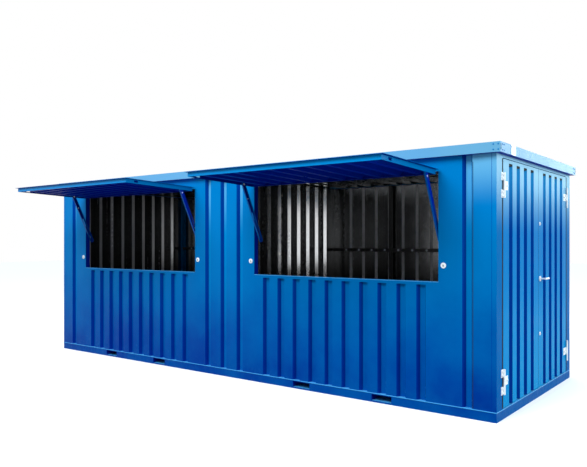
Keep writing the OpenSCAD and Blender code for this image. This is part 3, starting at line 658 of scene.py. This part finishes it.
def mesh_piece(name, body, mesh, material):
    """Turns a built mesh into a piece of a body."""
    bmesh.ops.recalc_face_normals(mesh, faces=mesh.faces)
    data = bpy.data.meshes.new(name)
    mesh.to_mesh(data)
    mesh.free()
    data.materials.append(material)
    piece = bpy.data.objects.new(name, data)
    show(piece)
    put_on(piece, body)


def bridge(mesh, rings):
    """Closes a row of vertex rings into a solid with capped ends."""
    count = len(rings[0])
    for near, far in zip(rings, rings[1:]):
        for i in range(count):
            j = (i + 1) % count
            mesh.faces.new((near[i], near[j], far[j], far[i]))
    mesh.faces.new(list(reversed(rings[0])))
    mesh.faces.new(rings[-1])


def keyhole(name, body, centre, facing, size):
    """A keyhole: a round hole with a tapering slot below it, laid just proud of its lock."""
    mesh = bmesh.new()
    out, upward = Vector(facing), Vector(UP)
    across = upward.cross(out)
    rim = []
    for i in range(HOLE_STEPS + 1):
        angle = math.radians(HOLE_START + HOLE_SWEEP * i / HOLE_STEPS)
        rim.append((HOLE_R * math.cos(angle), HOLE_RISE + HOLE_R * math.sin(angle)))
    rim += [(-SLOT_HALF, SLOT_FOOT), (SLOT_HALF, SLOT_FOOT)]
    bridge(mesh, [[mesh.verts.new(Vector(centre) + (across * a + upward * b) * size + out * lift) for a, b in rim]
                  for lift in KEYHOLE_LIFTS])
    mesh_piece(name, body, mesh, LOCK_SLOT)


lock_low, lock_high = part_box("hatch_locks")
LOCK_REACH = lock_high.x - (lock_high.z - lock_low.z) / 2 - JOINTS["hatch_right_hinge"].x
for hatch, side, hinge in HATCHES:
    for hand, seat in seats(side):
        centre = (hinge.x + hand * LOCK_REACH, lock_low.y, (lock_low.z + lock_high.z) / 2)
        keyhole(f"hatch_{hatch}_{seat}_keyhole", "root", centre, FRONT, size=1.35)
lock_low, lock_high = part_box("door_locks")
lock_y = (lock_low.y + lock_high.y) / 2
for seat, z in (("lower", lock_low.z + DOOR_LOCK_R), ("upper", lock_high.z - DOOR_LOCK_R)):
    keyhole(f"door_{seat}_keyhole", "door_back", (lock_high.x, lock_y, z), RIGHT, size=0.75)


# Rolled edges of the base rails and the sills

ROLL, SILL_ROLL = 0.004, 0.003
ROLL_SIDES, ROLL_STEP = 8, 0.05
UNEVEN, LONG_WAVE, SHORT_WAVE = 0.08, 0.37, 1.9


def rolled_edges(name, body, runs, radius, material):
    """Rounded, slightly uneven edges along straight runs, as on folded sheet."""
    mesh = bmesh.new()
    turns = [math.tau * k / ROLL_SIDES for k in range(ROLL_SIDES)]
    for start, end in runs:
        first, last = Vector(start), Vector(end)
        along = (last - first).normalized()
        side_a = along.orthogonal().normalized()
        side_b = along.cross(side_a)
        steps = max(2, round((last - first).length / ROLL_STEP))
        rings = []
        for i in range(steps + 1):
            swell = radius * (1.0 + UNEVEN * math.sin(SHORT_WAVE * i) * math.sin(LONG_WAVE * i))
            spot = first.lerp(last, i / steps)
            rings.append([mesh.verts.new(spot + (side_a * math.cos(turn) + side_b * math.sin(turn)) * swell)
                          for turn in turns])
        bridge(mesh, rings)
    mesh_piece(name, body, mesh, material)


# the rolled edges take the bright edge paint, a painted highlight along them
edge_z = BASE_TOP - ROLL
rolled_edges("base_rolled_edges", "root",
             [((-HALF_L, y, edge_z), (HALF_L, y, edge_z)) for y in (-HALF_W, HALF_W)]
             + [((x, -HALF_W, edge_z), (x, HALF_W, edge_z)) for x in (-HALF_L, HALF_L)], ROLL, EDGE_GLINT)
sill_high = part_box("serving_sills")[1]
sill_z = sill_high.z - SILL_ROLL
OPENING_HALF = sill_high.x - JOINTS["hatch_right_hinge"].x
rolled_edges("sill_rolled_edges", "root",
             [((hinge.x - OPENING_HALF, -HALF_W, sill_z), (hinge.x + OPENING_HALF, -HALF_W, sill_z))
              for hatch, side, hinge in HATCHES], SILL_ROLL, EDGE_GLINT)


# Door seals, groove fillers and sheet joints

STRIP_STEPS = 12


def upright_strips(name, body, material, outlines, low, high):
    """Upright strips of given cross-sections, (x, y) corner by corner, between two heights."""
    mesh = bmesh.new()
    heights = [low + (high - low) * i / STRIP_STEPS for i in range(STRIP_STEPS + 1)]
    for outline in outlines:
        bridge(mesh, [[mesh.verts.new((x, y, z)) for x, y in outline] for z in heights])
    mesh_piece(name, body, mesh, material)


def at_door(profile, side, y):
    """A cross-section on the door end, from (out from the door face, sideways from y) pairs."""
    return [(HALF_L + out, side * (y + across)) for out, across in profile]


# Rubber seals on the hinge edges of the door leaves, and lips on the posts beside them
LEAF_SEAL = [(-0.043, 0.0), (-0.0015, 0.0), (-0.0015, 0.0025), (-0.010, 0.004), (-0.025, 0.0035), (-0.043, 0.002)]
POST_LIP = [(0.0, 0.0005), (0.0008, 0.0005), (0.0012, 0.007), (0.0008, 0.014), (0.0, 0.015)]
POST_W, SEAL_END = 0.140, 0.002
leaf_low, leaf_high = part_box("door_front_frame")
SEAL_LOW, SEAL_HIGH = leaf_low.z + SEAL_END, leaf_high.z - SEAL_END
for leaf, side in BOTH_SIDES:
    for name, body, outline in (
            (f"door_{leaf}_seal", f"door_{leaf}", at_door(LEAF_SEAL, side, -leaf_low.y)),
            (f"post_{leaf}_seal_lip", "root", at_door(POST_LIP, side, HALF_W - POST_W))):
        upright_strips(name, body, RUBBER, [outline], SEAL_LOW, SEAL_HIGH)

# Dark pieces that close the grooves of the door skins under the top band
FILLER = [(-0.0015, -0.0425), (-0.0345, -0.0225), (-0.0345, 0.0225), (-0.0015, 0.0425)]
FILLER_H, FILLER_GAP = 0.018, 0.0005
DOOR_GROOVES = (0.1865, 0.3795, 0.5725, 0.7655)
skin_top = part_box("door_front_skin")[1].z
for leaf, side in BOTH_SIDES:
    upright_strips(f"door_{leaf}_groove_fillers", f"door_{leaf}", RUBBER,
                   [at_door(FILLER, side, y) for y in DOOR_GROOVES], skin_top - FILLER_H, skin_top - FILLER_GAP)

# Joints where the sheets meet the corner posts, and the open joint beside the end groove
POST_FOLD, JOINT_HALF, JOINT_RISE, JOINT_SUNK, JOINT_TOP_SHARE = 0.040, 0.002, 0.0006, 0.0004, 0.6
END_JOINT_HALF, END_JOINT_RISE, END_JOINT_OFF = 0.0028, 0.0010, 0.004
JOINT_LOW, JOINT_HIGH, END_JOINT_HIGH = BASE_TOP + 0.004, WALL_TOP - 0.002, WALL_TOP - 0.060
ACROSS, DEEP = (1, 0), (0, 1)


def joint_outline(spot, along, outward, half=JOINT_HALF, rise=JOINT_RISE):
    """Cross-section of a low flat bead on a wall."""
    spot, along, outward = Vector(spot), Vector(along), Vector(outward)
    top = half * JOINT_TOP_SHARE
    corners = [(-half, -JOINT_SUNK), (half, -JOINT_SUNK), (top, rise), (-top, rise)]
    return [tuple(spot + along * a + outward * b) for a, b in corners]


post_joints = [joint_outline((x, side * HALF_W), ACROSS, (0, side))
               for side in (-1, 1) for x in (POST_FOLD - HALF_L, HALF_L - POST_FOLD)]
post_joints += [joint_outline((-HALF_L, side * (HALF_W - POST_FOLD)), DEEP, (-1, 0)) for side in (-1, 1)]
# the joint beads take the darker groove slope paint as their own dark joint tone
upright_strips("sheet_joints", "root", GROOVE_SHADE_AND_JOINT, post_joints, JOINT_LOW, JOINT_HIGH)
end_joint = joint_outline((END_GROOVE_EDGE + END_JOINT_OFF, -HALF_W), ACROSS, (0, -1), END_JOINT_HALF, END_JOINT_RISE)
upright_strips("end_panel_joint", "root", RUBBER, [end_joint], JOINT_LOW, END_JOINT_HIGH)


# Dark pockets behind the drain slots of the end fascias, standing for painted shade inside the slots

POCKET_MOUTH, POCKET_BACK = CORNER_X - 0.0034, CORNER_X - 0.012
POCKET_HALF_W, POCKET_HALF_H, POCKET_WALL = 0.010, 0.026, 0.0012
SLOT_Y, SLOT_Z = CORNER_Y - 0.013, (WALL_TOP + ROOF_EDGE) / 2


def slot_shade_pocket(name, side, y):
    """A shallow dark open tray behind a slot, with its mouth against the fascia: a painted shade inside the slot."""
    mesh = bmesh.new()

    def ring(x, inset):
        return [mesh.verts.new((side * x, y + a * (POCKET_HALF_W - inset), SLOT_Z + b * (POCKET_HALF_H - inset)))
                for a, b in ((-1, -1), (1, -1), (1, 1), (-1, 1))]

    bridge(mesh, [ring(POCKET_BACK + POCKET_WALL, POCKET_WALL), ring(POCKET_MOUTH, POCKET_WALL),
                  ring(POCKET_MOUTH, 0.0), ring(POCKET_BACK, 0.0)])
    mesh_piece(name, "root", mesh, RUBBER)


for end, side in (("left", -1), ("right", 1)):
    for seat, hand in BOTH_SIDES:
        slot_shade_pocket(f"{end}_{seat}_slot_shade_pocket", side, hand * SLOT_Y)


# Camera, light and stage

# Focal length and principal point in pixels, found from corners of the building in the photograph
IMAGE_W, IMAGE_H = 587, 467
FOCAL_PX, CENTRE_PX = 640.3, (293.5, 242.1)
CAMERA_PLACE, CAMERA_TURN = (4.820, -6.152, 1.451), 0.653
SENSOR_W, VIEW_END = 36.0, 200.0
# The soft light of the surroundings, by the height they are seen at, and the white background
SKY_TINT, SKY_LOW, SKY_HIGH = (0.90, 0.95, 1.0, 1.0), (-0.1, 0.45), (0.9, 1.40)
WHITE = (1.0, 1.0, 1.0, 1.0)
FLOOR_REACH, FLOOR_SEEN, FLOOR_GIVES = 40, (0.88, 0.88, 0.88), (0.25, 0.25, 0.25)


def make_camera():
    data = bpy.data.cameras.new("photo_camera")
    data.sensor_width = SENSOR_W
    data.sensor_fit = "HORIZONTAL"
    data.lens = FOCAL_PX * data.sensor_width / IMAGE_W
    data.shift_x = (IMAGE_W / 2 - CENTRE_PX[0]) / IMAGE_W
    data.shift_y = (CENTRE_PX[1] - IMAGE_H / 2) / IMAGE_W
    data.clip_end = VIEW_END
    camera = bpy.data.objects.new("photo_camera", data)
    camera.location = CAMERA_PLACE
    camera.rotation_euler = (math.pi / 2, 0.0, CAMERA_TURN)
    show(camera)
    bpy.context.scene.camera = camera


def seen_directly(tree):
    """1 for rays that show the background: straight from the camera, mirrored or through glass."""
    path = place(tree, "ShaderNodeLightPath")
    seen = calc(tree, "ADD", path.outputs["Is Camera Ray"], path.outputs["Is Glossy Ray"])
    return calc(tree, "ADD", seen, path.outputs["Is Transmission Ray"], clamp=True)


def make_world():
    world = bpy.data.worlds.new("studio")
    world.use_nodes = True
    tree = world.node_tree
    tree.nodes.clear()
    height = height_of(tree, place(tree, "ShaderNodeTexCoord").outputs["Generated"])
    level = remap(tree, height, SKY_LOW[0], SKY_HIGH[0], SKY_LOW[1], SKY_HIGH[1])
    soft = place(tree, "ShaderNodeBackground", {"Color": SKY_TINT, "Strength": level})
    white = place(tree, "ShaderNodeBackground", {"Color": WHITE, "Strength": 1.0})
    both = place(tree, "ShaderNodeMixShader", {0: seen_directly(tree), 1: soft.outputs[0], 2: white.outputs[0]})
    place(tree, "ShaderNodeOutputWorld", {"Surface": both.outputs[0]})
    bpy.context.scene.world = world


def make_floor():
    """Pale floor: shown nearly white, and giving back less light to the undersides."""
    data = bpy.data.meshes.new("floor")
    corners = [(x * FLOOR_REACH, y * FLOOR_REACH, 0) for x, y in ((-1, -1), (1, -1), (1, 1), (-1, 1))]
    data.from_pydata(corners, [], [(0, 1, 2, 3)])
    floor = bpy.data.objects.new("floor", data)
    material, tree, shader = start_material("pale_floor", Roughness=0.9, Specular_IOR_Level=0.0)
    colour = blend_colour(tree, seen_directly(tree), FLOOR_GIVES, FLOOR_SEEN)
    feed(tree, shader.inputs["Base Color"], colour)
    data.materials.append(material)
    show(floor)
    floor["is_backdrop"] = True


def area_lamp(name, location, target, size, power, tint=WHITE[:3], mirrored=True):
    data = bpy.data.lights.new(name, "AREA")
    data.shape = "RECTANGLE"
    data.size, data.size_y = size
    data.energy = power
    data.color = tint
    lamp = bpy.data.objects.new(name, data)
    lamp.location = location
    lamp.rotation_euler = (Vector(target) - Vector(location)).to_track_quat("-Z", "Y").to_euler()
    lamp.visible_camera = False
    lamp.visible_glossy = mirrored
    show(lamp)


make_camera()
make_world()
make_floor()
area_lamp("front_softbox", location=(0.0, -7.5, 8.0), target=(0.8, -1.0, 1.2), size=(8.0, 4.5), power=1130.0)
area_lamp("end_softbox", location=(7.0, 8.0, 4.3), target=(3.0, 0.0, 1.6), size=(7.0, 3.6), power=330.0,
          tint=(0.72, 1.0, 0.96))
area_lamp("end_fill", location=(11.0, -2.0, 4.0), target=(3.0, 0.0, 1.4), size=(4.0, 3.0), power=420.0,
          mirrored=False)

bpy.context.scene.view_settings.view_transform = "Standard"
low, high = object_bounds()
